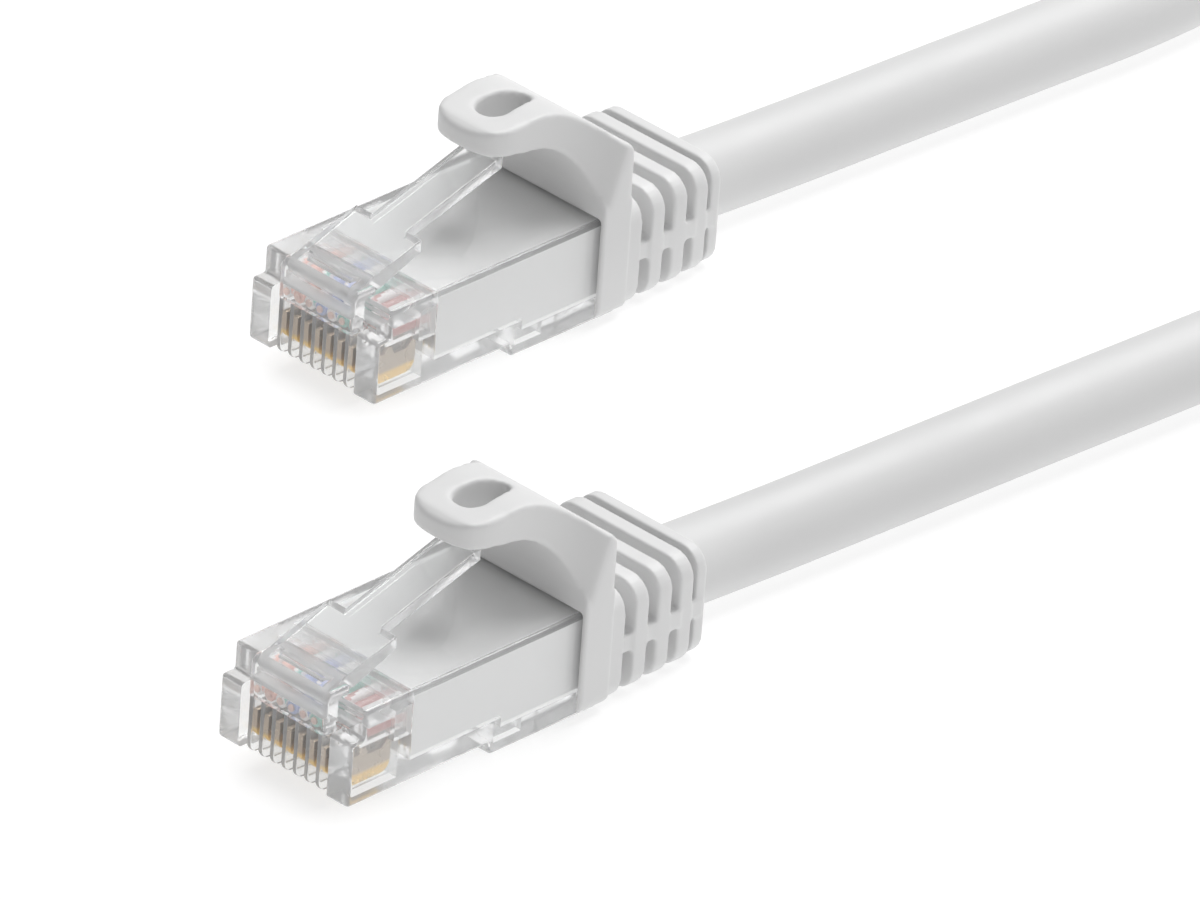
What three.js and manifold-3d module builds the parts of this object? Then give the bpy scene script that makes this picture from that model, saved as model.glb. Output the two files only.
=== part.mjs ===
// A snagless RJ45 ethernet patch cable: two clear 8P8C plugs with moulded boots, joined by one round cable
// that lies flat and is coiled up behind them. Millimetres, +Z up, plug noses toward -Y.
import * as THREE from 'three';
import { mergeVertices } from 'three/addons/utils/BufferGeometryUtils.js';
import Module from 'manifold-3d';

const wasm = await Module();
wasm.setup();

// ---- driving dimensions -------------------------------------------------------------------------------
const GAP = 0.3;

// where the two plugs lie: the centre of each nose, on the surface that the cable rests on
const PLUG_SPACING_X = 34.9;
const PLUG_SPACING_Y = 37.0;

// clear plug body, in the plug's own frame: x across, y back from the nose, z up from the surface
const PLUG_WIDTH = 11.68;
const PLUG_LENGTH = 22.4;
const BODY_TOP = 7.8;
const NOSE_UNDERSIDE = 1.2;
const REAR_UNDERSIDE = 0.3;
const UNDERSIDE_STEP_Y = 12.4;
const FACE_SETBACK = 1.1;
const FACE_SETBACK_Z = 5.85;
const FACE_RECESS_HALF = 3.95;
const LATCH_BLOCK_HALF = 3.4;
const LATCH_BLOCK_FLOOR = 5.2;

// contacts and wires
const PIN_COUNT = 8;
const PIN_PITCH = 1.016;
const SLOT_WIDTH = 0.66;
const SLOT_END_Y = 5.2;
const SLOT_TOP = 5.0;
const CONTACT_THICKNESS = 0.35;
const CONTACT_FRONT_Y = 0.8;
const CONTACT_BACK_Y = 4.7;
const CONTACT_BOTTOM = 1.9;
const CONTACT_TOP = 4.35;
const WIRE_DIAMETER = 0.94;
const WIRE_FRONT_Y = 1.9;
const WIRE_BACK_Y = 5.5;
const WIRE_Z = 5.3;

// the flat channel that the wires lie in, and the seat of the guide that keeps them side by side
const CHANNEL_HALF_WIDTH = 4.25;
const CHANNEL_FRONT_Y = 1.6;
const CHANNEL_BOTTOM = 4.75;
const CHANNEL_TOP = 5.9;
const GUIDE_SEAT_HALF_WIDTH = 5;
const GUIDE_SEAT_FRONT_Y = 4.2;
const GUIDE_SEAT_BOTTOM = 4.4;
const GUIDE_SEAT_TOP = 6.6;
const GUIDE_LENGTH = 1.05;

// white moulding that fills the back of the plug
const FILLING_FRONT_Y = 5.8;
const FILLING_HALF_WIDTH = 5.1;
const FILLING_TOP = 7.1;
const FILLING_BOTTOM = 2.65;
const FILLING_REAR_BOTTOM = 2.0;
const FILLING_STEP_Y = 13.9;
const CLEARANCE = 0.1;

// strain relief bar in its window in the plug's underside
const BAR_FRONT_Y = 14.0;
const BAR_BACK_Y = 16.5;
const BAR_HALF_WIDTH = 3.6;

// latch lever
const LATCH_HALF_WIDTH = 3.05;
const LATCH_LEVER_HALF_WIDTH = 1.6;
const LATCH_ROOT = { y: 1.5, bottom: 8.1, top: 8.4 };
const LATCH_SHOULDER = { y: 6.5, top: 10.2 };
const LATCH_END_Y = 15.2;
const LATCH_LEVER_SLOPE = Math.tan(THREE.MathUtils.degToRad(16.3));
const LATCH_THICKNESS = 0.95;

// boot
const COLLAR_FRONT_Y = 20.2;
const COLLAR_BACK_Y = 22.8;
const COLLAR_HALF_WIDTH = 6.35;
const COLLAR_BOTTOM = 0.0;
const COLLAR_TOP = 8.7;
const COLLAR_CORNER = 0.9;
const BOOT_END_Y = 32.2;
const BOOT_CORE_HALF_WIDTH = 4.7;
const BOOT_CORE_BOTTOM = 0.9;
const BOOT_CORE_TOP = 6.8;
const BOOT_CORE_CORNER = 1.2;
const BOOT_TOP = 8.0;
const RIB_CORNER = 1.6;
const RIBS = [
  { front: 22.8, back: 24.2, half: 6.0 },
  { front: 25.3, back: 26.5, half: 5.9 },
  { front: 27.45, back: 28.65, half: 5.8 },
  { front: 29.55, back: 30.75, half: 5.65 },
  { front: 31.3, back: BOOT_END_Y, half: 5.4 },
];
const SPINE_BOTTOM = 3.3;
const SPINE_TOP = 4.6;
const SPINE_HALF_WIDTH = 5.55;

// release tab of the boot, which arches forward over the latch
const TAB_HALF_WIDTH = 3.25;
const TAB_FRONT_Y = 12.3;
const TAB_CORNER = 2.4;
const TAB_TOP = 15.4;
const TAB_UNDERSIDE = 13.4;
const TAB_BEND_Y = 16.5;
const TAB_REAR_TOP = 13.0;
const TAB_FLARE_START_Y = 17;
const TAB_FLARE_END_Y = 22.4;
const TAB_FLARE_LEVEL = 13.5;
const TAB_FLARE_LEAN = 0.35;
const TAB_HOLE_HALF_WIDTH = 1.15;
const TAB_HOLE_FRONT_Y = 14.4;
const TAB_HOLE_BACK_Y = 18.2;

// cable
const CABLE_DIAMETER = 5.7;
const CABLE_RADIUS = CABLE_DIAMETER / 2;
const BOOT_CABLE_Z = 3.35;
const COIL_RADIUS = 30;
const COIL_LIFT = 1.2;
const COIL_CENTRE = { x: 8, y: 135 };
const TIE_THICKNESS = 0.7;
const TIE_WIDTH = 9;

// ---- materials ----------------------------------------------------------------------------------------
function plastic(colour, roughness) {
  return new THREE.MeshStandardMaterial({ color: colour, roughness, metalness: 0 });
}
const makeClear = () => plastic(0xdfe3e4, 0.08);
const makeWhite = () => plastic(0xd6d6d6, 0.45);
const makeGold = () => new THREE.MeshStandardMaterial({ color: 0xc9a15a, roughness: 0.28, metalness: 1 });

// T568B order: pin 1 is on the left when the latch is on top and the nose points at the viewer
const WIRES = [
  { name: 'white_orange', colour: 0xf0c9a8 },
  { name: 'orange', colour: 0xe08a4a },
  { name: 'white_green', colour: 0xc6dfc2 },
  { name: 'blue', colour: 0x4e6fb8 },
  { name: 'white_blue', colour: 0xc3cfe8 },
  { name: 'green', colour: 0x5c9a76 },
  { name: 'white_brown', colour: 0xd9c0ae },
  { name: 'brown', colour: 0x8a4b3c },
];

// ---- geometry helpers ---------------------------------------------------------------------------------
function solidOf(geometry) {
  const bare = geometry.clone();
  bare.deleteAttribute('normal');
  bare.deleteAttribute('uv');
  const merged = mergeVertices(bare, 1e-4);
  const vertProperties = new Float32Array(merged.attributes.position.array);
  const triVerts = new Uint32Array(merged.index.array);
  return new wasm.Manifold(new wasm.Mesh({ numProp: 3, vertProperties, triVerts }));
}

function geometryOf(solid) {
  const { vertProperties, triVerts } = solid.getMesh();
  const geometry = new THREE.BufferGeometry();
  geometry.setAttribute('position', new THREE.BufferAttribute(vertProperties, 3));
  geometry.setIndex(new THREE.BufferAttribute(triVerts, 1));
  geometry.computeVertexNormals();
  return geometry;
}

function block([x0, x1], [y0, y1], [z0, z1]) {
  const geometry = new THREE.BoxGeometry(x1 - x0, y1 - y0, z1 - z0);
  return geometry.translate((x0 + x1) / 2, (y0 + y1) / 2, (z0 + z1) / 2);
}

function shapeOf(points) {
  return new THREE.Shape(points.map(([u, v]) => new THREE.Vector2(u, v)));
}

function extrude(shape, depth, curveSegments = 6) {
  return new THREE.ExtrudeGeometry(shape, { depth, bevelEnabled: false, curveSegments });
}

// a side outline in (y, z), extruded across x
function sidePlate(shape, x0, x1) {
  const basis = new THREE.Matrix4().makeBasis(
    new THREE.Vector3(0, 1, 0),
    new THREE.Vector3(0, 0, 1),
    new THREE.Vector3(1, 0, 0),
  );
  return extrude(shape, x1 - x0).applyMatrix4(basis).translate(x0, 0, 0);
}

// a cross-section in (x, z), extruded along y
function crossPlate(shape, y0, y1) {
  const basis = new THREE.Matrix4().makeBasis(
    new THREE.Vector3(1, 0, 0),
    new THREE.Vector3(0, 0, 1),
    new THREE.Vector3(0, -1, 0),
  );
  return extrude(shape, y1 - y0).applyMatrix4(basis).translate(0, y1, 0);
}

function roundedRectangle(halfWidth, bottom, top, radius) {
  const shape = new THREE.Shape();
  shape.moveTo(-halfWidth + radius, bottom);
  shape.lineTo(halfWidth - radius, bottom);
  shape.absarc(halfWidth - radius, bottom + radius, radius, -Math.PI / 2, 0);
  shape.lineTo(halfWidth, top - radius);
  shape.absarc(halfWidth - radius, top - radius, radius, 0, Math.PI / 2);
  shape.lineTo(-halfWidth + radius, top);
  shape.absarc(-halfWidth + radius, top - radius, radius, Math.PI / 2, Math.PI);
  shape.lineTo(-halfWidth, bottom + radius);
  shape.absarc(-halfWidth + radius, bottom + radius, radius, Math.PI, 1.5 * Math.PI);
  return shape;
}

// a round bar along y
function rod(radius, y0, y1, x, z, sides) {
  const geometry = new THREE.CylinderGeometry(radius, radius, y1 - y0, sides);
  return geometry.translate(x, (y0 + y1) / 2, z);
}

const pinX = (index) => (index - (PIN_COUNT - 1) / 2) * PIN_PITCH;

// ---- the clear plug body ------------------------------------------------------------------------------
function plugShell() {
  const half = PLUG_WIDTH / 2;
  const outline = shapeOf([
    [0.3, NOSE_UNDERSIDE],
    [UNDERSIDE_STEP_Y, NOSE_UNDERSIDE],
    [UNDERSIDE_STEP_Y + 0.3, REAR_UNDERSIDE],
    [PLUG_LENGTH, REAR_UNDERSIDE],
    [PLUG_LENGTH, BODY_TOP],
    [FACE_SETBACK + 0.4, BODY_TOP],
    [FACE_SETBACK, BODY_TOP - 0.4],
    [FACE_SETBACK, FACE_SETBACK_Z],
    [0, FACE_SETBACK_Z],
    [0, NOSE_UNDERSIDE + 0.3],
  ]);
  const latchBlock = shapeOf([
    [0, LATCH_BLOCK_FLOOR],
    [2, LATCH_BLOCK_FLOOR],
    [2, BODY_TOP - 0.2],
    [LATCH_ROOT.y - GAP, BODY_TOP - 0.2],
    [LATCH_ROOT.y - GAP, LATCH_ROOT.top],
    [0.25, LATCH_ROOT.top - 0.3],
    [0, LATCH_ROOT.top - 0.6],
  ]);
  const finger = shapeOf([
    [0, NOSE_UNDERSIDE + 0.9],
    [0.25, NOSE_UNDERSIDE + 0.3],
    [0.8, NOSE_UNDERSIDE],
    [2, NOSE_UNDERSIDE],
    [2, LATCH_BLOCK_FLOOR + 0.2],
    [0, LATCH_BLOCK_FLOOR + 0.2],
  ]);

  let shell = solidOf(sidePlate(outline, -half, half));
  // the recess in the face, and the block and comb that stand in it
  const recess = block([-FACE_RECESS_HALF, FACE_RECESS_HALF], [-1, FACE_SETBACK], [0, FACE_SETBACK_Z + 0.1]);
  shell = shell.subtract(solidOf(recess));
  shell = shell.add(solidOf(sidePlate(latchBlock, -LATCH_BLOCK_HALF, LATCH_BLOCK_HALF)));
  for (let index = 0; index < PIN_COUNT - 1; index += 1) {
    const middle = (pinX(index) + pinX(index + 1)) / 2;
    const halfFinger = (PIN_PITCH - SLOT_WIDTH) / 2;
    shell = shell.add(solidOf(sidePlate(finger, middle - halfFinger, middle + halfFinger)));
  }
  // slots for the contacts, the flat channel for the wires, and the wire guide's seat
  for (let index = 0; index < PIN_COUNT; index += 1) {
    const slotX = [pinX(index) - SLOT_WIDTH / 2, pinX(index) + SLOT_WIDTH / 2];
    shell = shell.subtract(solidOf(block(slotX, [-0.5, SLOT_END_Y], [0, SLOT_TOP])));
  }
  const cavityX = [-FILLING_HALF_WIDTH - CLEARANCE, FILLING_HALF_WIDTH + CLEARANCE];
  const cavityTop = FILLING_TOP + CLEARANCE;
  const beyond = PLUG_LENGTH + 1;
  const hollows = [
    block(
      [-CHANNEL_HALF_WIDTH, CHANNEL_HALF_WIDTH],
      [CHANNEL_FRONT_Y, FILLING_FRONT_Y],
      [CHANNEL_BOTTOM, CHANNEL_TOP],
    ),
    block(
      [-GUIDE_SEAT_HALF_WIDTH, GUIDE_SEAT_HALF_WIDTH],
      [GUIDE_SEAT_FRONT_Y, FILLING_FRONT_Y],
      [GUIDE_SEAT_BOTTOM, GUIDE_SEAT_TOP],
    ),
    // the cavity behind, open at the back and deeper there, and the window for the strain relief bar
    block(cavityX, [FILLING_FRONT_Y - CLEARANCE, beyond], [FILLING_BOTTOM - CLEARANCE, cavityTop]),
    block(cavityX, [FILLING_STEP_Y - CLEARANCE, beyond], [FILLING_REAR_BOTTOM - CLEARANCE, cavityTop]),
    block([-BAR_HALF_WIDTH, BAR_HALF_WIDTH], [BAR_FRONT_Y, BAR_BACK_Y], [0, FILLING_BOTTOM]),
  ];
  for (const hollow of hollows) {
    shell = shell.subtract(solidOf(hollow));
  }
  return geometryOf(shell);
}

function latch() {
  const { y, bottom, top } = LATCH_ROOT;
  const shoulderBottom = LATCH_SHOULDER.top - LATCH_THICKNESS;
  const endTop = LATCH_SHOULDER.top + (LATCH_END_Y - LATCH_SHOULDER.y) * LATCH_LEVER_SLOPE;
  const wide = shapeOf([
    [y, bottom],
    [y + 0.9, bottom],
    [LATCH_SHOULDER.y, shoulderBottom],
    [LATCH_SHOULDER.y, LATCH_SHOULDER.top],
    [y + 0.9, top + 0.2],
    [y, top],
  ]);
  const lever = shapeOf([
    [LATCH_SHOULDER.y - 1, shoulderBottom - 0.3],
    [LATCH_END_Y, endTop - LATCH_THICKNESS],
    [LATCH_END_Y, endTop],
    [LATCH_SHOULDER.y - 1, LATCH_SHOULDER.top - 0.42],
  ]);
  const body = solidOf(sidePlate(wide, -LATCH_HALF_WIDTH, LATCH_HALF_WIDTH));
  const leverPlate = sidePlate(lever, -LATCH_LEVER_HALF_WIDTH, LATCH_LEVER_HALF_WIDTH);
  return geometryOf(body.add(solidOf(leverPlate)));
}

// ---- contacts, wires and the guide that keeps the wires side by side -----------------------------------
// a flat blade, with a point at each end of its top edge and a notch between them
function contact(index) {
  const notchBottom = CONTACT_TOP - 0.5;
  const outline = shapeOf([
    [CONTACT_FRONT_Y + 0.5, CONTACT_BOTTOM],
    [CONTACT_BACK_Y - 0.7, CONTACT_BOTTOM],
    [CONTACT_BACK_Y, CONTACT_BOTTOM + 0.9],
    [CONTACT_BACK_Y, CONTACT_TOP],
    [CONTACT_BACK_Y - 0.8, CONTACT_TOP],
    [CONTACT_BACK_Y - 1.1, notchBottom],
    [CONTACT_FRONT_Y + 1.8, notchBottom],
    [CONTACT_FRONT_Y + 1.5, CONTACT_TOP],
    [CONTACT_FRONT_Y, CONTACT_TOP],
    [CONTACT_FRONT_Y, CONTACT_BOTTOM + 0.4],
  ]);
  return sidePlate(outline, pinX(index) - CONTACT_THICKNESS / 2, pinX(index) + CONTACT_THICKNESS / 2);
}

function wire(index) {
  return rod(WIRE_DIAMETER / 2, WIRE_FRONT_Y, WIRE_BACK_Y, pinX(index), WIRE_Z, 10);
}

function wireGuide() {
  const half = GUIDE_SEAT_HALF_WIDTH - CLEARANCE;
  const windowHalf = CHANNEL_HALF_WIDTH - CLEARANCE;
  const front = GUIDE_SEAT_FRONT_Y + 0.15;
  const bar = block(
    [-half, half],
    [front, front + GUIDE_LENGTH],
    [GUIDE_SEAT_BOTTOM + CLEARANCE, GUIDE_SEAT_TOP - CLEARANCE],
  );
  const window = block(
    [-windowHalf, windowHalf],
    [front - 1, front + GUIDE_LENGTH + 1],
    [CHANNEL_BOTTOM + 0.03, CHANNEL_TOP - 0.05],
  );
  return geometryOf(solidOf(bar).subtract(solidOf(window)));
}

function filling() {
  const outline = shapeOf([
    [FILLING_FRONT_Y, FILLING_BOTTOM],
    [FILLING_STEP_Y, FILLING_BOTTOM],
    [FILLING_STEP_Y, FILLING_REAR_BOTTOM],
    [PLUG_LENGTH, FILLING_REAR_BOTTOM],
    [PLUG_LENGTH, FILLING_TOP],
    [FILLING_FRONT_Y, FILLING_TOP],
  ]);
  return sidePlate(outline, -FILLING_HALF_WIDTH, FILLING_HALF_WIDTH);
}

function strainReliefBar() {
  const inset = 0.15;
  return block(
    [-BAR_HALF_WIDTH + inset, BAR_HALF_WIDTH - inset],
    [BAR_FRONT_Y + inset, BAR_BACK_Y - inset],
    [REAR_UNDERSIDE + 0.2, FILLING_REAR_BOTTOM - inset],
  );
}

// ---- the boot -----------------------------------------------------------------------------------------
function boot() {
  const collar = roundedRectangle(COLLAR_HALF_WIDTH, COLLAR_BOTTOM, COLLAR_TOP, COLLAR_CORNER);
  const core = roundedRectangle(BOOT_CORE_HALF_WIDTH, BOOT_CORE_BOTTOM, BOOT_CORE_TOP, BOOT_CORE_CORNER);
  const coreY = [COLLAR_BACK_Y - 0.5, BOOT_END_Y - 0.1];
  const spineX = [-SPINE_HALF_WIDTH, SPINE_HALF_WIDTH];
  const spineY = [COLLAR_BACK_Y - 0.2, RIBS.at(-1).front + 0.2];
  const pieces = [
    crossPlate(core, ...coreY),
    rod(CABLE_RADIUS + 0.42, ...coreY, 0, BOOT_CABLE_Z, 20),
    block(spineX, spineY, [SPINE_BOTTOM, SPINE_TOP]),
    ...RIBS.map((rib) => crossPlate(
      roundedRectangle(rib.half, 0, BOOT_TOP, RIB_CORNER),
      rib.front - 0.01,
      rib.back,
    )),
  ];
  let body = solidOf(crossPlate(collar, COLLAR_FRONT_Y, COLLAR_BACK_Y));
  for (const piece of pieces) {
    body = body.add(solidOf(piece));
  }
  // the pocket that the plug's tail sits in, and the bore for the cable
  const pocketHalf = PLUG_WIDTH / 2 + CLEARANCE;
  const pocket = block(
    [-pocketHalf, pocketHalf],
    [COLLAR_FRONT_Y - 1, PLUG_LENGTH + CLEARANCE],
    [REAR_UNDERSIDE - CLEARANCE, BODY_TOP + CLEARANCE],
  );
  const bore = rod(CABLE_RADIUS + CLEARANCE, COLLAR_FRONT_Y, BOOT_END_Y + 1, 0, BOOT_CABLE_Z, 20);
  return geometryOf(body.subtract(solidOf(pocket)).subtract(solidOf(bore)));
}

// the plan outline of the release tab's tip, with nothing cut away behind it
function tabTipPlan() {
  const shape = new THREE.Shape();
  const narrow = TAB_HALF_WIDTH;
  const beside = COLLAR_HALF_WIDTH + 1;
  const tip = TAB_FRONT_Y;
  shape.moveTo(-beside, tip + TAB_CORNER);
  shape.lineTo(-narrow, tip + TAB_CORNER);
  shape.quadraticCurveTo(-narrow, tip, 0, tip);
  shape.quadraticCurveTo(narrow, tip, narrow, tip + TAB_CORNER);
  shape.lineTo(beside, tip + TAB_CORNER);
  shape.lineTo(beside, COLLAR_BACK_Y + 1);
  shape.lineTo(-beside, COLLAR_BACK_Y + 1);
  return shape;
}

// the plan outline of its sides, which flare out to the collar's width
function tabSidesPlan() {
  const shape = new THREE.Shape();
  const narrow = TAB_HALF_WIDTH;
  const wide = COLLAR_HALF_WIDTH;
  const start = TAB_FLARE_START_Y;
  const end = TAB_FLARE_END_Y;
  shape.moveTo(-narrow, 0);
  shape.lineTo(narrow, 0);
  shape.lineTo(narrow, start);
  shape.bezierCurveTo(narrow, start + 3, narrow + 1.4, end - 1.1, wide, end);
  shape.lineTo(wide, BOOT_END_Y);
  shape.lineTo(-wide, BOOT_END_Y);
  shape.lineTo(-wide, end);
  shape.bezierCurveTo(-narrow - 1.4, end - 1.1, -narrow, start + 3, -narrow, start);
  return shape;
}

function bootTab() {
  const base = COLLAR_TOP + GAP;
  const profile = new THREE.Shape();
  // the underside of the arch, from the tip back and down to the collar
  profile.moveTo(TAB_FRONT_Y + 0.5, TAB_UNDERSIDE);
  profile.lineTo(TAB_BEND_Y, TAB_UNDERSIDE - 0.1);
  profile.bezierCurveTo(
    TAB_BEND_Y + 2, TAB_UNDERSIDE - 0.4,
    COLLAR_FRONT_Y - 0.5, TAB_UNDERSIDE - 2,
    COLLAR_FRONT_Y, base,
  );
  // up the back of the hood and forward along its top
  profile.lineTo(COLLAR_BACK_Y, base);
  profile.lineTo(COLLAR_BACK_Y, TAB_REAR_TOP - 1);
  profile.quadraticCurveTo(COLLAR_BACK_Y, TAB_REAR_TOP - 0.3, COLLAR_BACK_Y - 0.6, TAB_REAR_TOP);
  profile.bezierCurveTo(
    COLLAR_FRONT_Y, TAB_TOP - 1.2,
    TAB_BEND_Y + 2, TAB_TOP,
    TAB_BEND_Y, TAB_TOP,
  );
  // the rounded tip
  profile.lineTo(TAB_FRONT_Y + 0.6, TAB_TOP - 0.2);
  profile.quadraticCurveTo(TAB_FRONT_Y, TAB_TOP - 0.3, TAB_FRONT_Y, TAB_TOP - 1.1);
  profile.quadraticCurveTo(TAB_FRONT_Y, TAB_UNDERSIDE + 0.1, TAB_FRONT_Y + 0.5, TAB_UNDERSIDE);
  const hole = new THREE.Shape();
  const r = TAB_HOLE_HALF_WIDTH;
  hole.absarc(0, TAB_HOLE_FRONT_Y + r, r, Math.PI, 2 * Math.PI);
  hole.absarc(0, TAB_HOLE_BACK_Y - r, r, 0, Math.PI);
  let tab = solidOf(sidePlate(profile, -COLLAR_HALF_WIDTH - 1, COLLAR_HALF_WIDTH + 1));
  const above = TAB_TOP + 1;
  // lower down, the sides flare out further forward
  const lean = new THREE.Matrix4().set(
    1, 0, 0, 0,
    0, 1, TAB_FLARE_LEAN, -TAB_FLARE_LEAN * TAB_FLARE_LEVEL,
    0, 0, 1, 0,
    0, 0, 0, 1,
  );
  tab = tab.intersect(solidOf(extrude(tabTipPlan(), above, 8)));
  tab = tab.intersect(solidOf(extrude(tabSidesPlan(), above, 8).applyMatrix4(lean)));
  tab = tab.subtract(solidOf(extrude(hole, above)));
  return geometryOf(tab);
}

function jacketEnd() {
  return rod(CABLE_RADIUS - 0.15, PLUG_LENGTH + GAP, BOOT_END_Y, 0, BOOT_CABLE_Z, 16);
}

// ---- assembly -----------------------------------------------------------------------------------------
const group = new THREE.Group();

function add(parent, name, geometry, material) {
  const mesh = new THREE.Mesh(geometry, material);
  mesh.name = name;
  parent.add(mesh);
}

// the boots' ends and the noses lie evenly about the origin
const plugY = (PLUG_SPACING_Y - BOOT_END_Y) / 2;
const PLUGS = [
  { side: 'a', x: -PLUG_SPACING_X / 2, y: plugY },
  { side: 'b', x: PLUG_SPACING_X / 2, y: plugY - PLUG_SPACING_Y },
];

for (const { side, x, y } of PLUGS) {
  const plug = new THREE.Group();
  plug.position.set(x, y, 0);
  add(plug, `plug_shell_${side}`, plugShell(), makeClear());
  add(plug, `latch_${side}`, latch(), makeClear());
  add(plug, `wire_guide_${side}`, wireGuide(), makeClear());
  add(plug, `strain_relief_bar_${side}`, strainReliefBar(), makeClear());
  add(plug, `inner_moulding_${side}`, filling(), makeWhite());
  add(plug, `boot_${side}`, boot(), makeWhite());
  add(plug, `boot_tab_${side}`, bootTab(), makeWhite());
  add(plug, `jacket_end_${side}`, jacketEnd(), makeWhite());
  WIRES.forEach(({ name, colour }, index) => {
    add(plug, `contact_${index + 1}_${side}`, contact(index), makeGold());
    add(plug, `wire_${name}_${side}`, wire(index), plastic(colour, 0.4));
  });
  group.add(plug);
}

// ---- the free cable -----------------------------------------------------------------------------------
// Each lead leaves its boot a little to +X, settles onto the surface and runs to the coil's side. The coil
// is wound clockwise from above: lead a meets its lower layer at the left, lead b its upper layer at the
// right. The leads stop short of the coil's solid, where the cable turns into it.
const LEAD_A_ROUTE = [
  [-17.45, 34.9, 3.35],
  [-17.5, 40.4, 2.95],
  [-17.1, 48, 2.85],
  [-16.5, 59, 2.85],
  [-15.95, 69, 2.85],
  [-15.45, 79, 2.85],
  [-16, 88, 2.85],
  [-18.2, 97, 2.95],
  [-21.1, 105.5, 3.2],
  [-22.95, 111.4, 3.5],
];
const LEAD_B_ROUTE = [
  [17.45, -2.1, 3.35],
  [17.4, 3.4, 2.95],
  [17.8, 11, 2.85],
  [18.4, 22, 2.85],
  [19.4, 40, 2.85],
  [20.5, 56, 2.85],
  [23, 68.5, 2.85],
  [27, 80.5, 2.85],
  [31.6, 91.5, 3.2],
  [35.9, 102, 5.1],
  [39.2, 111.6, 7.9],
];

function tube(route, radius, steps) {
  const path = new THREE.CatmullRomCurve3(route.map(([x, y, z]) => new THREE.Vector3(x, y, z)));
  const section = new THREE.Shape();
  section.absarc(0, 0, radius, 0, 2 * Math.PI);
  const options = { steps, extrudePath: path, curveSegments: 10, bevelEnabled: false };
  return new THREE.ExtrudeGeometry(section, options);
}

// the coil's outer shape: two turns side by side and two deep
function coil() {
  const corner = CABLE_RADIUS;
  const inner = COIL_RADIUS - CABLE_DIAMETER;
  const outer = COIL_RADIUS + CABLE_DIAMETER;
  const bottom = COIL_LIFT;
  const top = COIL_LIFT + 2 * CABLE_DIAMETER;
  const profile = [
    [inner, bottom + corner],
    [inner + corner * 0.3, bottom + corner * 0.3],
    [inner + corner, bottom],
    [outer - corner, bottom],
    [outer - corner * 0.3, bottom + corner * 0.3],
    [outer, bottom + corner],
    [outer, top - corner],
    [outer - corner * 0.3, top - corner * 0.3],
    [outer - corner, top],
    [inner + corner, top],
    [inner + corner * 0.3, top - corner * 0.3],
    [inner, top - corner],
    [inner, bottom + corner],
  ];
  const ring = new THREE.LatheGeometry(profile.map(([r, z]) => new THREE.Vector2(r, z)), 40);
  return ring.rotateX(Math.PI / 2).translate(COIL_CENTRE.x, COIL_CENTRE.y, 0);
}

// a flat strap round all four turns at the far side of the coil
function tie() {
  const halfWidth = [COIL_CENTRE.x - TIE_WIDTH / 2, COIL_CENTRE.x + TIE_WIDTH / 2];
  const near = COIL_CENTRE.y + COIL_RADIUS - CABLE_DIAMETER - 0.8;
  const far = COIL_CENTRE.y + COIL_RADIUS + CABLE_DIAMETER + GAP;
  const low = COIL_LIFT - GAP;
  const high = COIL_LIFT + 2 * CABLE_DIAMETER + GAP;
  const t = TIE_THICKNESS;
  const outside = solidOf(block(halfWidth, [near - t, far + t], [low - t, high + t]));
  const wider = [halfWidth[0] - 1, halfWidth[1] + 1];
  return geometryOf(outside.subtract(solidOf(block(wider, [near, far], [low, high]))));
}

add(group, 'cable_lead_a', tube(LEAD_A_ROUTE, CABLE_RADIUS, 14), makeWhite());
add(group, 'cable_lead_b', tube(LEAD_B_ROUTE, CABLE_RADIUS, 16), makeWhite());
add(group, 'cable_coil', coil(), makeWhite());
add(group, 'coil_tie', tie(), plastic(0x8c8f92, 0.7));

export default group;
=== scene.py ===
"""The looks of a white snagless patch cable: clear plugs with gold contacts, soft boots, one round cable."""

import math

import bmesh
import bpy
from mathutils import Matrix, Vector


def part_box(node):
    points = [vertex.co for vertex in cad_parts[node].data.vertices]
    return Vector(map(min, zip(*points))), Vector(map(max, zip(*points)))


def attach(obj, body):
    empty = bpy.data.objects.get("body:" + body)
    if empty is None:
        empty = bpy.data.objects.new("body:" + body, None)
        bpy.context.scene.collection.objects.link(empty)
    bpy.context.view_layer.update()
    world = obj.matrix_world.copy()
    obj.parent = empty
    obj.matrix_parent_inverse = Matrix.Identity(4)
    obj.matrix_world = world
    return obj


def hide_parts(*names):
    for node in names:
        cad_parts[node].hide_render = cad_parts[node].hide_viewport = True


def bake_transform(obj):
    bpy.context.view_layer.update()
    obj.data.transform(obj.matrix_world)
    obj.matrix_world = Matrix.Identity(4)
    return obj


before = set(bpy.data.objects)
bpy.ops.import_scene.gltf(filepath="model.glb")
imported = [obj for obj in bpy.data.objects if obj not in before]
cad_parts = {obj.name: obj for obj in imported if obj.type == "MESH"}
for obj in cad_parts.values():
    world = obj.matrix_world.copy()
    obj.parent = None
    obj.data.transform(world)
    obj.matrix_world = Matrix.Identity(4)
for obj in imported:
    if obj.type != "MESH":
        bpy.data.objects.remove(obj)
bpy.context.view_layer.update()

MM = 0.001

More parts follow.
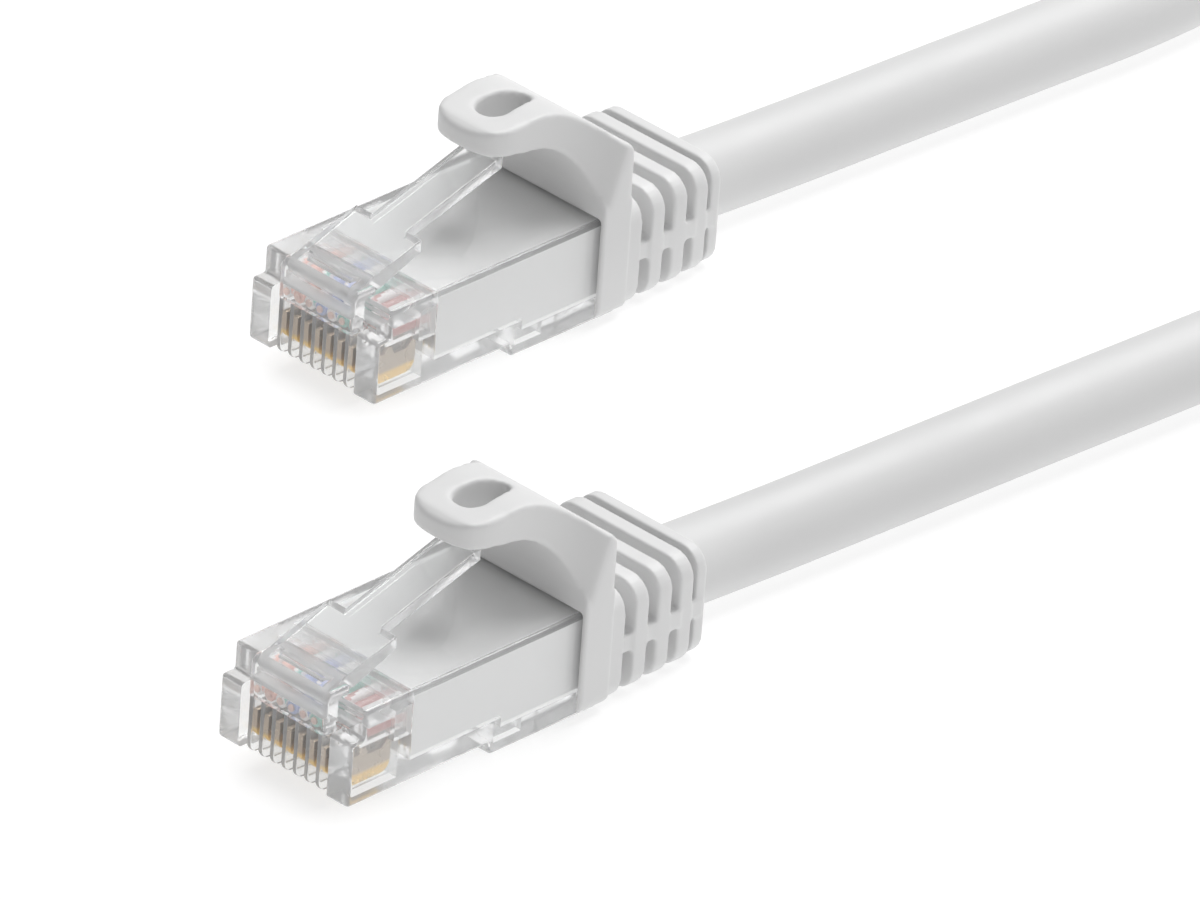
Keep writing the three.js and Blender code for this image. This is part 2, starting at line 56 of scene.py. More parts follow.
# ---- driving dimensions, in millimetres --------------------------------------------------------------
# they are in each plug's own frame: x across, y back from the nose, z up from the floor
PLUG_HALF_WIDTH = 5.84
PLUG_LENGTH = 22.4
BODY_TOP = 7.8
NOSE_UNDERSIDE = 1.2
REAR_UNDERSIDE = 0.3
STEP_Y = 12.4
WALL_TOP = 5.85
FACE_Y = 1.1
FACE_HALF_WIDTH = 3.95
NOSE_BLOCK_HALF_WIDTH = 3.4
SHOULDER_Y = 6.5
SHOULDER_Z = 10.1
LATCH_RISE = 16.3
LATCH_END = 15.2
LATCH_THICKNESS = 0.95
LATCH_ROOT_HALF_WIDTH = 3.05
LEVER_HALF_WIDTH = 1.6
PIN_PITCH = 1.016
PIN_COUNT = 8
SLOT_HALF_WIDTH = 0.33
SLOT_TOP = 5.0
BLADE_HALF_THICKNESS = 0.175
WIRE_Z = 5.3
WIRE_RADIUS = 0.46
WIRE_CUT = 1.9
WIRE_BACK = 5.6
CORE_RADIUS = 0.25
CAVITY_HALF_WIDTH = 5.2
CABLE_RADIUS = 2.85
BOOT_CABLE_Z = 3.35
COLLAR_FRONT = 20.2
COLLAR_BACK = 22.8
COLLAR_HALF_WIDTH = 6.35
BOOT_END = 32.2
BOOT_CORE_START = 22.4
TAB_HALF_WIDTH = 3.2
TAB_FRONT = 12.3
FLARE_LEAN = 0.35
FLARE_LEVEL = 13.5
TAB_SLOT_FRONT = 15.55
TAB_SLOT_BACK = 18.9
TAB_SLOT_HALF_WIDTH = 1.15
STRAP_THICKNESS = 0.7

SIDES = ("a", "b")


def plug_origin(side):
    """Where a plug's own frame sits in the row frame: the middle of its nose, on the floor."""
    low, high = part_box(f"plug_shell_{side}")
    return Vector(((low.x + high.x) / 2, low.y, 0)) / MM


# ---- camera ------------------------------------------------------------------------------------------
CAMERA_AZIMUTH = math.radians(42.53)
CAMERA_ELEVATION = math.radians(29.77)
CAMERA_ROLL = math.radians(4.21)
CAMERA_TARGET = (0.165, 11.43, 0)
CAMERA_DISTANCE = 1.292
CAMERA_LENS = 600


def make_camera():
    """A very long lens, so that both plugs are seen alike, a little rolled."""
    azimuth, elevation, roll = CAMERA_AZIMUTH, CAMERA_ELEVATION, CAMERA_ROLL
    back = Vector((
        math.sin(azimuth) * math.cos(elevation),
        -math.cos(azimuth) * math.cos(elevation),
        math.sin(elevation),
    ))
    level_right = Vector((math.cos(azimuth), math.sin(azimuth), 0))
    level_up = back.cross(level_right)
    right = level_right * math.cos(roll) + level_up * math.sin(roll)
    up = level_up * math.cos(roll) - level_right * math.sin(roll)
    camera = bpy.data.objects.new("camera", bpy.data.cameras.new("camera"))
    camera.data.lens = CAMERA_LENS
    camera.data.sensor_width = 36
    camera.data.clip_end = 30
    place = Matrix.Translation(Vector(CAMERA_TARGET) * MM + back * CAMERA_DISTANCE)
    camera.matrix_world = place @ Matrix((right, up, back)).transposed().to_4x4()
    bpy.context.scene.collection.objects.link(camera)
    bpy.context.scene.camera = camera


# ---- mesh helpers ------------------------------------------------------------------------------------
def new_object(name, bm):
    mesh = bpy.data.meshes.new(name)
    bmesh.ops.recalc_face_normals(bm, faces=bm.faces)
    bm.to_mesh(mesh)
    bm.free()
    obj = bpy.data.objects.new(name, mesh)
    bpy.context.scene.collection.objects.link(obj)
    return obj


def prism(outline, axis, low, high, bevel=0.0, segments=3):
    """A flat outline pushed along an axis: (y, z) along x, (x, z) along y, or (x, y) along z."""
    place = {
        "x": lambda u, v, w: (w, u, v),
        "y": lambda u, v, w: (u, w, v),
        "z": lambda u, v, w: (u, v, w),
    }[axis]
    bm = bmesh.new()
    face = bm.faces.new([bm.verts.new(place(u, v, low)) for u, v in outline])
    extruded = bmesh.ops.extrude_face_region(bm, geom=[face])
    far_side = [g for g in extruded["geom"] if isinstance(g, bmesh.types.BMVert)]
    bmesh.ops.translate(bm, verts=far_side, vec=Vector(place(0, 0, high - low)))
    if bevel:
        sharp = [e for e in bm.edges if e.calc_face_angle(0) > math.radians(25)]
        bmesh.ops.bevel(
            bm, geom=sharp, offset=bevel, segments=segments,
            profile=0.5, affect="EDGES", clamp_overlap=True,
        )
    return new_object("prism", bm)


def block(x, y, z, bevel=0.0, segments=3):
    """A box between two values along each axis."""
    outline = [(x[0], y[0]), (x[1], y[0]), (x[1], y[1]), (x[0], y[1])]
    return prism(outline, "z", z[0], z[1], bevel, segments)


def rod(radius, y, x, z, sides):
    """A round bar that runs back from y[0] to y[1]."""
    outline = [
        (x + radius * math.cos(2 * math.pi * i / sides), z + radius * math.sin(2 * math.pi * i / sides))
        for i in range(sides)
    ]
    return prism(outline, "y", y[0], y[1])


def arc(centre, radius, start, end, steps=6):
    """Points on a circle, with the angles in degrees."""
    return [
        (centre[0] + radius * math.cos(math.radians(start + (end - start) * i / steps)),
         centre[1] + radius * math.sin(math.radians(start + (end - start) * i / steps)))
        for i in range(steps + 1)
    ]


def curve(p0, p1, p2, p3, steps=10):
    """A cubic Bezier curve's points, without its first."""
    points = []
    for i in range(1, steps + 1):
        t = i / steps
        weights = ((1 - t) ** 3, 3 * t * (1 - t) ** 2, 3 * t * t * (1 - t), t ** 3)
        points.append(tuple(sum(w * p[k] for w, p in zip(weights, (p0, p1, p2, p3))) for k in (0, 1)))
    return points


def rounded_rectangle(half_width, bottom, top, radius, steps=6):
    """A closed outline, level with the middle line."""
    return [
        *arc((half_width - radius, bottom + radius), radius, -90, 0, steps),
        *arc((half_width - radius, top - radius), radius, 0, 90, steps),
        *arc((-half_width + radius, top - radius), radius, 90, 180, steps),
        *arc((-half_width + radius, bottom + radius), radius, 180, 270, steps),
    ]


def bake_modifiers(obj):
    """Replaces the mesh by what its modifiers make of it."""
    depsgraph = bpy.context.evaluated_depsgraph_get()
    mesh = bpy.data.meshes.new_from_object(obj.evaluated_get(depsgraph))
    obj.modifiers.clear()
    obj.data = mesh


def combine(obj, tool, operation):
    """Joins the tool to the object, or cuts it away; the tool is used up."""
    modifier = obj.modifiers.new("combine", "BOOLEAN")
    modifier.operation = operation
    modifier.solver = "EXACT"
    modifier.object = tool
    bake_modifiers(obj)
    bpy.data.objects.remove(tool)


def join(objects):
    """One object of several closed shells, which may overlap."""
    bm = bmesh.new()
    for obj in objects:
        bm.from_mesh(obj.data)
        bpy.data.objects.remove(obj)
    return new_object("joined", bm)


def melt(obj, voxel, smoothing):
    """Turns overlapping shells into one moulded skin with rounded corners."""
    remesh = obj.modifiers.new("remesh", "REMESH")
    remesh.mode = "VOXEL"
    remesh.voxel_size = voxel
    soften = obj.modifiers.new("soften", "SMOOTH")
    soften.factor = 0.5
    soften.iterations = smoothing
    bake_modifiers(obj)


def shade(obj, angle=35):
    """Smooth shading that keeps the edges sharper than the angle, in degrees."""
    obj.data.shade_smooth()
    obj.data.set_sharp_from_angle(angle=math.radians(angle))
    normals = obj.modifiers.new("normals", "WEIGHTED_NORMAL")
    normals.keep_sharp = True


def put(source, name, side, materials, angle=35):
    """A copy of a piece made in the plug's own frame, in metres, on one of the two plugs."""
    mesh = source.data.copy()
    mesh.transform(Matrix.Scale(MM, 4) @ Matrix.Translation(plug_origin(side)))
    piece = bpy.data.objects.new(name, mesh)
    bpy.context.scene.collection.objects.link(piece)
    mesh.materials.clear()
    for material in materials:
        mesh.materials.append(material)
    shade(piece, angle)
    return piece


# ---- materials ---------------------------------------------------------------------------------------
def new_material(name):
    material = bpy.data.materials.new(name)
    material.use_nodes = True
    return material, material.node_tree.nodes, material.node_tree.links


def add_grain(nodes, links, shader, scale, strength, distance, detail=3):
    """A fine uneven surface."""
    coordinates = nodes.new("ShaderNodeTexCoord")
    noise = nodes.new("ShaderNodeTexNoise")
    noise.inputs["Scale"].default_value = scale
    noise.inputs["Detail"].default_value = detail
    bump = nodes.new("ShaderNodeBump")
    bump.inputs["Strength"].default_value = strength
    bump.inputs["Distance"].default_value = distance
    links.new(coordinates.outputs["Object"], noise.inputs["Vector"])
    links.new(noise.outputs["Fac"], bump.inputs["Height"])
    links.new(bump.outputs["Normal"], shader.inputs["Normal"])
    return coordinates


def add_mottle(nodes, links, shader, coordinates, socket, scale, low, high):
    """Lets a socket vary a little over the surface."""
    noise = nodes.new("ShaderNodeTexNoise")
    noise.inputs["Scale"].default_value = scale
    ramp = nodes.new("ShaderNodeValToRGB")
    ramp.color_ramp.elements[0].position = 0.3
    ramp.color_ramp.elements[1].position = 0.7
    ramp.color_ramp.elements[0].color = (*low, 1)
    ramp.color_ramp.elements[1].color = (*high, 1)
    links.new(coordinates.outputs["Object"], noise.inputs["Vector"])
    links.new(noise.outputs["Fac"], ramp.inputs["Fac"])
    links.new(ramp.outputs["Color"], shader.inputs[socket])


def soft_plastic(name, tone, grain):
    """Matt white PVC with a fine moulded grain."""
    material, nodes, links = new_material(name)
    shader = nodes["Principled BSDF"]
    coordinates = add_grain(nodes, links, shader, grain, 0.12, 0.00003)
    add_mottle(nodes, links, shader, coordinates, "Base Color", 90, [tone * 0.985] * 3, [tone] * 3)
    add_mottle(nodes, links, shader, coordinates, "Roughness", 160, [0.42] * 3, [0.52] * 3)
    shader.inputs["IOR"].default_value = 1.46
    shader.inputs["Subsurface Weight"].default_value = 0.08
    shader.inputs["Subsurface Radius"].default_value = (0.001, 0.001, 0.001)
    return material


def clear_plastic():
    """Clear polycarbonate with softly moulded faces."""
    material, nodes, links = new_material("clear_polycarbonate")
    shader = nodes["Principled BSDF"]
    shader.inputs["Base Color"].default_value = (0.985, 0.99, 0.99, 1)
    # the rest of its light is scattered, so that it looks a little milky
    shader.inputs["Transmission Weight"].default_value = 0.86
    shader.inputs["Roughness"].default_value = 0.07
    shader.inputs["IOR"].default_value = 1.5
    add_grain(nodes, links, shader, 260, 0.05, 0.00002, 1)
    # light goes straight through to what lies inside
    path = nodes.new("ShaderNodeLightPath")
    either = nodes.new("ShaderNodeMath")
    either.operation = "MAXIMUM"
    open_air = nodes.new("ShaderNodeBsdfTransparent")
    open_air.inputs["Color"].default_value = (0.97, 0.97, 0.97, 1)
    mix = nodes.new("ShaderNodeMixShader")
    links.new(path.outputs["Is Shadow Ray"], either.inputs[0])
    links.new(path.outputs["Is Diffuse Ray"], either.inputs[1])
    links.new(either.outputs["Value"], mix.inputs["Fac"])
    links.new(shader.outputs["BSDF"], mix.inputs[1])
    links.new(open_air.outputs["BSDF"], mix.inputs[2])
    links.new(mix.outputs["Shader"], nodes["Material Output"].inputs["Surface"])
    return material


def contact_metal():
    """Bronze-grey above, where the blade is only nickelled, and gold along its lower edge."""
    material, nodes, links = new_material("contact_gold")
    shader = nodes["Principled BSDF"]
    shader.inputs["Metallic"].default_value = 1.0
    coordinates = add_grain(nodes, links, shader, 900, 0.1, 0.00001)
    split = nodes.new("ShaderNodeSeparateXYZ")
    ramp = nodes.new("ShaderNodeValToRGB")
    height = nodes.new("ShaderNodeMapRange")
    height.inputs["From Min"].default_value = 0.0019
    height.inputs["From Max"].default_value = 0.0044
    ramp.color_ramp.elements[0].position = 0.22
    ramp.color_ramp.elements[0].color = (0.78, 0.52, 0.16, 1)
    ramp.color_ramp.elements[1].position = 0.34
    ramp.color_ramp.elements[1].color = (0.42, 0.34, 0.26, 1)
    links.new(coordinates.outputs["Object"], split.inputs["Vector"])
    links.new(split.outputs["Z"], height.inputs["Value"])
    links.new(height.outputs["Result"], ramp.inputs["Fac"])
    links.new(ramp.outputs["Color"], shader.inputs["Base Color"])
    add_mottle(nodes, links, shader, coordinates, "Roughness", 700, [0.22] * 3, [0.36] * 3)
    return material


def insulation(name, colour):
    material, nodes, links = new_material(name)
    shader = nodes["Principled BSDF"]
    coordinates = add_grain(nodes, links, shader, 900, 0.08, 0.00001)
    add_mottle(nodes, links, shader, coordinates, "Base Color", 500, [c * 0.93 for c in colour], colour)
    shader.inputs["Roughness"].default_value = 0.35
    return material


def copper():
    material, nodes, links = new_material("copper_core")
    shader = nodes["Principled BSDF"]
    coordinates = add_grain(nodes, links, shader, 1500, 0.2, 0.00001)
    shader.inputs["Metallic"].default_value = 1.0
    add_mottle(nodes, links, shader, coordinates, "Base Color", 800, [0.66, 0.42, 0.36], [0.8, 0.55, 0.46])
    shader.inputs["Roughness"].default_value = 0.35
    return material


def strap_weave():
    material, nodes, links = new_material("strap_weave")
    shader = nodes["Principled BSDF"]
    coordinates = nodes.new("ShaderNodeTexCoord")
    wave = nodes.new("ShaderNodeTexWave")
    wave.wave_type = "BANDS"
    wave.bands_direction = "DIAGONAL"
    wave.inputs["Scale"].default_value = 900
    wave.inputs["Distortion"].default_value = 1.5
    ramp = nodes.new("ShaderNodeValToRGB")
    ramp.color_ramp.elements[0].color = (0.24, 0.25, 0.26, 1)
    ramp.color_ramp.elements[1].color = (0.42, 0.43, 0.44, 1)
    bump = nodes.new("ShaderNodeBump")
    bump.inputs["Strength"].default_value = 0.5
    bump.inputs["Distance"].default_value = 0.0001
    links.new(coordinates.outputs["Object"], wave.inputs["Vector"])
    links.new(wave.outputs["Fac"], ramp.inputs["Fac"])
    links.new(ramp.outputs["Color"], shader.inputs["Base Color"])
    links.new(wave.outputs["Fac"], bump.inputs["Height"])
    links.new(bump.outputs["Normal"], shader.inputs["Normal"])
    shader.inputs["Roughness"].default_value = 0.85
    return material


# ---- the cable ---------------------------------------------------------------------------------------
LEAD_A_ROUTE = [
    (-17.45, 34.9, 3.35),
    (-17.5, 40.4, 2.95),
    (-17.1, 48, 2.85),
    (-16.5, 59, 2.85),
    (-15.95, 69, 2.85),
    (-15.45, 79, 2.85),
    (-16, 88, 2.85),
    (-18.2, 97, 2.95),
    (-21.1, 105.5, 3.2),
    (-22.95, 111.4, 3.5),
    (-24.4, 123, 3.9),
]
LEAD_B_ROUTE = [
    (17.45, -2.1, 3.35),
    (17.4, 3.4, 2.95),
    (17.8, 11, 2.85),
    (18.4, 22, 2.85),
    (19.4, 40, 2.85),
    (20.5, 56, 2.85),
    (23, 68.5, 2.85),
    (27, 80.5, 2.85),
    (31.6, 91.5, 3.2),
    (35.9, 102, 5.1),
    (39.2, 111.6, 7.9),
    (40.6, 123, 9.5),
]
COIL_CENTRE = (8, 135)
COIL_RADIUS = 30
COIL_LIFT = 1.2
COIL_TURNS = 3.5
COIL_STEPS = 24


def smooth_step(value, start, end):
    t = min(1, max(0, (value - start) / (end - start)))
    return t * t * (3 - 2 * t)


def coil_route():
    """Wound clockwise from above: the lower layer goes from outside in and the upper one from inside out."""
    points = []
    for i in range(int(COIL_TURNS * COIL_STEPS) + 1):
        turn = i / COIL_STEPS
        inward = smooth_step(turn, 0.82, 1.0) - smooth_step(turn, 2.54, 2.68)
        radius = COIL_RADIUS + CABLE_RADIUS - 2 * CABLE_RADIUS * inward
        height = COIL_LIFT + CABLE_RADIUS + 2 * CABLE_RADIUS * smooth_step(turn, 1.66, 1.82)
        angle = math.pi - 2 * math.pi * turn
        points.append((
            COIL_CENTRE[0] + radius * math.cos(angle),
            COIL_CENTRE[1] + radius * math.sin(angle),
            height,
        ))
    return points


def spline(points, spacing):
    """A Catmull-Rom curve through the points, with more steps where they lie further apart."""
    p = [Vector(q) for q in points]
    p = [2 * p[0] - p[1], *p, 2 * p[-1] - p[-2]]
    line = [p[1]]
    for a, b, c, d in zip(p, p[1:], p[2:], p[3:]):
        count = max(2, round((c - b).length / spacing))
        slope = c - a
        bend = 2 * a - 5 * b + 4 * c - d
        twist = 3 * b - a - 3 * c + d
        for i in range(1, count + 1):
            t = i / count
            line.append(0.5 * (2 * b + slope * t + bend * t * t + twist * t ** 3))
    return line


def tube(line, radius, sides):
    """A closed round tube along a line, with its section carried along without twist."""
    bm = bmesh.new()
    rings = []
    across = Vector((1, 0, 0))
    for i, point in enumerate(line):
        along = (line[min(i + 1, len(line) - 1)] - line[max(i - 1, 0)]).normalized()
        across = (across - along * across.dot(along)).normalized()
        up = along.cross(across)
        ring = []
        for k in range(sides):
            angle = 2 * math.pi * k / sides
            ring.append(bm.verts.new(point + radius * (math.cos(angle) * across + math.sin(angle) * up)))
        rings.append(ring)
    for ring, following in zip(rings, rings[1:]):
        for k in range(sides):
            j = (k + 1) % sides
            bm.faces.new((ring[k], ring[j], following[j], following[k]))
    bm.faces.new(rings[0])
    bm.faces.new(rings[-1])
    return new_object("tube", bm)


def make_cable():
    """One tube from boot to boot, whose ends reach into the boots as far as the plugs' backs."""
    tails = {side: plug_origin(side) + Vector((0, PLUG_LENGTH + 0.3, BOOT_CABLE_Z)) for side in SIDES}
    inside = {side: [tails[side], tails[side] + Vector((0, 5, 0))] for side in SIDES}
    route = [
        *inside["a"],
        *LEAD_A_ROUTE,
        *coil_route(),
        *reversed(LEAD_B_ROUTE),
        *reversed(inside["b"]),
    ]
    line = [point * MM for point in spline(route, 1.6)]
    cable = tube(line, CABLE_RADIUS * MM, 32)
    cable.name = "cable"
    cable.data.materials.append(soft_plastic("cable_jacket", 0.7, 700))
    shade(cable)
    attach(cable, "cable")
    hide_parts("cable_lead_a", "cable_lead_b", "cable_coil", "jacket_end_a", "jacket_end_b")
    tie = make_tie()


def make_tie():
    """A woven strap round the four turns, with its loose end lapped over on top."""
    low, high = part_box("coil_tie")
    x = (low.x / MM, high.x / MM)
    near, far = low.y / MM, high.y / MM
    bottom, top = low.z / MM, high.z / MM
    middle = (near + far) / 2
    half = (far - near) / 2

    def outline(inset, radius):
        return [
            (y + middle, z)
            for y, z in rounded_rectangle(half - inset, bottom + inset, top - inset, radius)
        ]

    strap = prism(outline(0, 2.2), "x", x[0], x[1], 0.2, 2)
    combine(strap, prism(outline(STRAP_THICKNESS, 1.6), "x", x[0] - 1, x[1] + 1), "DIFFERENCE")
    lap = block((x[0] + 0.3, x[1] - 0.3), (middle - 4.5, middle + 2), (top - 0.1, top + 0.6), 0.25, 2)
    combine(strap, lap, "UNION")
    strap.data.transform(Matrix.Scale(MM, 4))
    strap.name = "tie_strap"
    strap.data.materials.append(strap_weave())
    shade(strap)
    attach(strap, "cable")
    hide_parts("coil_tie")
    return strap


# ---- the clear plug ----------------------------------------------------------------------------------
def pin_x(index):
    """The middle of a contact, counted from 0 at pin 1."""
    return (index - (PIN_COUNT - 1) / 2) * PIN_PITCH


def clear_body():
    """The plug's shell: nose, comb, contact slots, and the hollows for what lies inside."""
    half = PLUG_HALF_WIDTH
    outline = [
        (0.0, NOSE_UNDERSIDE),
        (STEP_Y, NOSE_UNDERSIDE),
        (STEP_Y + 0.3, REAR_UNDERSIDE),
        (PLUG_LENGTH, REAR_UNDERSIDE),
        (PLUG_LENGTH, BODY_TOP),
        (FACE_Y, BODY_TOP),
        (FACE_Y, WALL_TOP),
        (0.0, WALL_TOP),
    ]
    body = prism(outline, "x", -half, half, 0.32, 4)
    opening = block((-FACE_HALF_WIDTH, FACE_HALF_WIDTH), (-1, FACE_Y), (0, WALL_TOP + 0.1))
    combine(body, opening, "DIFFERENCE")
    # the block that the latch grows from, standing in the face above the comb
    nose_block = [(0, 5.2), (2.2, 5.2), (2.2, 8.3), (0.5, 8.3), (0, 7.9)]
    wide = NOSE_BLOCK_HALF_WIDTH
    combine(body, prism(nose_block, "x", -wide, wide, 0.3, 4), "UNION")
    # the comb of fingers between the contact slots
    finger = [
        (0.0, 5.4),
        *arc((0.75, NOSE_UNDERSIDE + 0.75), 0.75, 180, 270, 5),
        (2.0, NOSE_UNDERSIDE),
        (2.0, 5.4),
    ]
    half_finger = PIN_PITCH / 2 - SLOT_HALF_WIDTH
    for index in range(PIN_COUNT - 1):
        middle = pin_x(index) + PIN_PITCH / 2
        combine(body, prism(finger, "x", middle - half_finger, middle + half_finger, 0.1, 2), "UNION")
    for index in range(PIN_COUNT):
        slot = (pin_x(index) - SLOT_HALF_WIDTH, pin_x(index) + SLOT_HALF_WIDTH)
        combine(body, block(slot, (-0.5, 5.2), (0, SLOT_TOP)), "DIFFERENCE")
    # half width, and extents along y and z, of the wires' channel, the guide's seat, the hollow for the
    # filling, its deeper rear and the window for the strain relief bar
    hollows = (
        (4.25, (1.6, 6.0), (4.75, 5.9)),
        (5.0, (4.2, 6.8), (4.4, 6.6)),
        (CAVITY_HALF_WIDTH, (5.7, 30), (2.55, 7.2)),
        (CAVITY_HALF_WIDTH, (13.8, 30), (1.9, 5)),
        (3.6, (14.0, 16.5), (0, 3)),
    )
    for half_width, y, z in hollows:
        combine(body, block((-half_width, half_width), y, z), "DIFFERENCE")
    return body


def latch_lever():
    """The spring latch: a wide root that rises to two shoulders, and a narrow lever behind it."""
    slope = math.tan(math.radians(LATCH_RISE))

    def top(y):
        return SHOULDER_Z + (y - SHOULDER_Y) * slope

    root = [
        (0.8, 7.4),
        (2.5, 7.6),
        (SHOULDER_Y, top(SHOULDER_Y) - LATCH_THICKNESS),
        (SHOULDER_Y, top(SHOULDER_Y)),
        (0.8, top(0.8)),
        (0.4, 8.1),
        (0.4, 7.4),
    ]
    lever = [
        (5.0, top(5.0) - LATCH_THICKNESS),
        (LATCH_END, top(LATCH_END) - LATCH_THICKNESS),
        (LATCH_END, top(LATCH_END)),
        (5.0, top(5.0) - 0.05),
    ]
    latch = prism(root, "x", -LATCH_ROOT_HALF_WIDTH, LATCH_ROOT_HALF_WIDTH, 0.14, 3)
    combine(latch, prism(lever, "x", -LEVER_HALF_WIDTH, LEVER_HALF_WIDTH, 0.14, 3), "UNION")
    # a shallow pocket in the root, with a bar left standing across it
    for y, length, half_width, low, high, operation in (
        (1.0, 1.35, 2.4, -0.28, 0.8, "DIFFERENCE"),
        (1.15, 0.36, 1.95, -0.4, -0.03, "UNION"),
    ):
        pad = block((-half_width, half_width), (-length / 2, length / 2), (low, high), 0.06, 2)
        lie = Matrix.Translation((0, y, top(y))) @ Matrix.Rotation(math.atan(slope), 4, "X")
        pad.data.transform(lie)
        combine(latch, pad, operation)
    return latch


def make_clear_plugs(material):
    """Each plug and its latch as one moulding."""
    body = clear_body()
    combine(body, latch_lever(), "UNION")
    for side in SIDES:
        plug = put(body, f"clear_plug_{side}", side, [material], 30)
        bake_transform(plug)
        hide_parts(f"plug_shell_{side}", f"latch_{side}")
    bpy.data.objects.remove(body)


def make_inner_parts(clear, white):
    """The white moulding that fills the plug, the wire guide and the strain relief bar."""
    side_view = [(5.8, 2.65), (13.9, 2.65), (13.9, 2.0), (PLUG_LENGTH, 2.0), (PLUG_LENGTH, 7.1), (5.8, 7.1)]
    filling_half_width = CAVITY_HALF_WIDTH - 0.1
    moulding = prism(side_view, "x", -filling_half_width, filling_half_width, 0.12, 2)
    guide = block((-4.9, 4.9), (4.35, 5.4), (4.5, 6.5), 0.12, 2)
    combine(guide, block((-4.15, 4.15), (4, 6), (4.78, 5.85)), "DIFFERENCE")
    bar = block((-3.45, 3.45), (14.15, 16.35), (0.5, 1.85), 0.15, 2)
    made = (
        (moulding, "moulded_filling", "inner_moulding", white, "white_plastic"),
        (guide, "guide", "wire_guide", clear, "clear_plastic"),
        (bar, "relief_bar", "strain_relief_bar", clear, "clear_plastic"),
    )
    for source, name, node, material, slot in made:
        for side in SIDES:
            piece = put(source, f"{name}_{side}", side, [material])
            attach(piece, "cable")
            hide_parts(f"{node}_{side}")
        bpy.data.objects.remove(source)


def make_contacts(material):
    """Stamped blades with a rounded lower edge and two points that reach up to the wires."""
    outline = [
        *arc((1.5, 2.6), 0.7, 180, 270, 4),
        *arc((3.9, 2.7), 0.8, 270, 360, 4),
        (4.7, 4.3),
        (4.45, 4.36),
        (3.85, 3.75),
        (2.75, 3.75),
        (2.45, 4.36),
        (2.2, 4.36),
        (1.9, 4.0),
        (0.8, 4.0),
    ]
    for index in range(PIN_COUNT):
        x = pin_x(index)
        blade = prism(outline, "x", x - BLADE_HALF_THICKNESS, x + BLADE_HALF_THICKNESS, 0.05, 2)
        for side in SIDES:
            piece = put(blade, f"blade_{index + 1}_{side}", side, [material])
            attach(piece, "cable")
            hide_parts(f"contact_{index + 1}_{side}")
        bpy.data.objects.remove(blade)


WIRE_COLOURS = {
    "orange": (0.8, 0.42, 0.34),
    "green": (0.2, 0.48, 0.4),
    "blue": (0.27, 0.33, 0.62),
    "brown": (0.42, 0.16, 0.15),
    "white": (0.84, 0.8, 0.8),
}
PIN_ORDER = (
    "white_orange",
    "orange",
    "white_green",
    "blue",
    "white_blue",
    "green",
    "white_brown",
    "brown",
)
WIRE_SIDES = 16
CORE_SIDES = 12


def wire_ring(bm, x, y, radius, sides):
    """A ring of vertices round the middle of a wire."""
    return [
        bm.verts.new((
            x + radius * math.cos(2 * math.pi * k / sides),
            y,
            WIRE_Z + radius * math.sin(2 * math.pi * k / sides),
        ))
        for k in range(sides)
    ]


def wire_piece(x):
    """One insulated wire with its copper core at the cut end: material 1 is the stripe, 2 the core."""
    sides = WIRE_SIDES
    bm = bmesh.new()
    stations = [
        (WIRE_CUT, WIRE_RADIUS - 0.06),
        (WIRE_CUT + 0.04, WIRE_RADIUS),
        *[(WIRE_CUT + 0.5 * (i + 1), WIRE_RADIUS) for i in range(7)],
        (WIRE_BACK, WIRE_RADIUS),
    ]
    rings = [wire_ring(bm, x, y, radius, sides) for y, radius in stations]
    for number, (ring, following) in enumerate(zip(rings, rings[1:])):
        for k in range(sides):
            j = (k + 1) % sides
            face = bm.faces.new((ring[k], ring[j], following[j], following[k]))
            # the stripe winds slowly round the wire
            face.material_index = 1 if (k - number) % 8 < 2 else 0
    bm.faces.new(rings[0])
    bm.faces.new(rings[-1])
    core = [wire_ring(bm, x, y, CORE_RADIUS, CORE_SIDES) for y in (WIRE_CUT - 0.12, WIRE_CUT + 0.3)]
    for k in range(CORE_SIDES):
        j = (k + 1) % CORE_SIDES
        bm.faces.new((core[0][k], core[0][j], core[1][j], core[1][k])).material_index = 2
    for ring in core:
        bm.faces.new(ring).material_index = 2
    return new_object("wire", bm)


def make_wires():
    """Pins 1 to 8 in T568B order, where a name that starts with white has a coloured stripe."""
    materials = {name: insulation(f"insulation_{name}", colour) for name, colour in WIRE_COLOURS.items()}
    core = copper()
    for index, pin in enumerate(PIN_ORDER):
        stripe = materials[pin.split("_")[-1]]
        base = materials["white"] if pin.startswith("white") else stripe
        source = wire_piece(pin_x(index))
        indices = [polygon.material_index for polygon in source.data.polygons]
        for side in SIDES:
            piece = put(source, f"insulated_wire_{pin}_{side}", side, [base, stripe, core])
            piece.data.polygons.foreach_set("material_index", indices)
            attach(piece, "cable")
            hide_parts(f"wire_{pin}_{side}")
        bpy.data.objects.remove(source)


# ---- the boot ----------------------------------------------------------------------------------------
# front, back and half width of each rib
RIBS = (
    (22.6, 24.2, 6.0),
    (25.3, 26.5, 5.9),
    (27.45, 28.65, 5.8),
    (29.55, 30.75, 5.65),
    (31.3, BOOT_END, 5.4),
)


def mirrored(half_outline):
    """Completes an outline that runs from the middle line round its +X side."""
    return half_outline + [(-x, y) for x, y in reversed(half_outline) if x > 0]


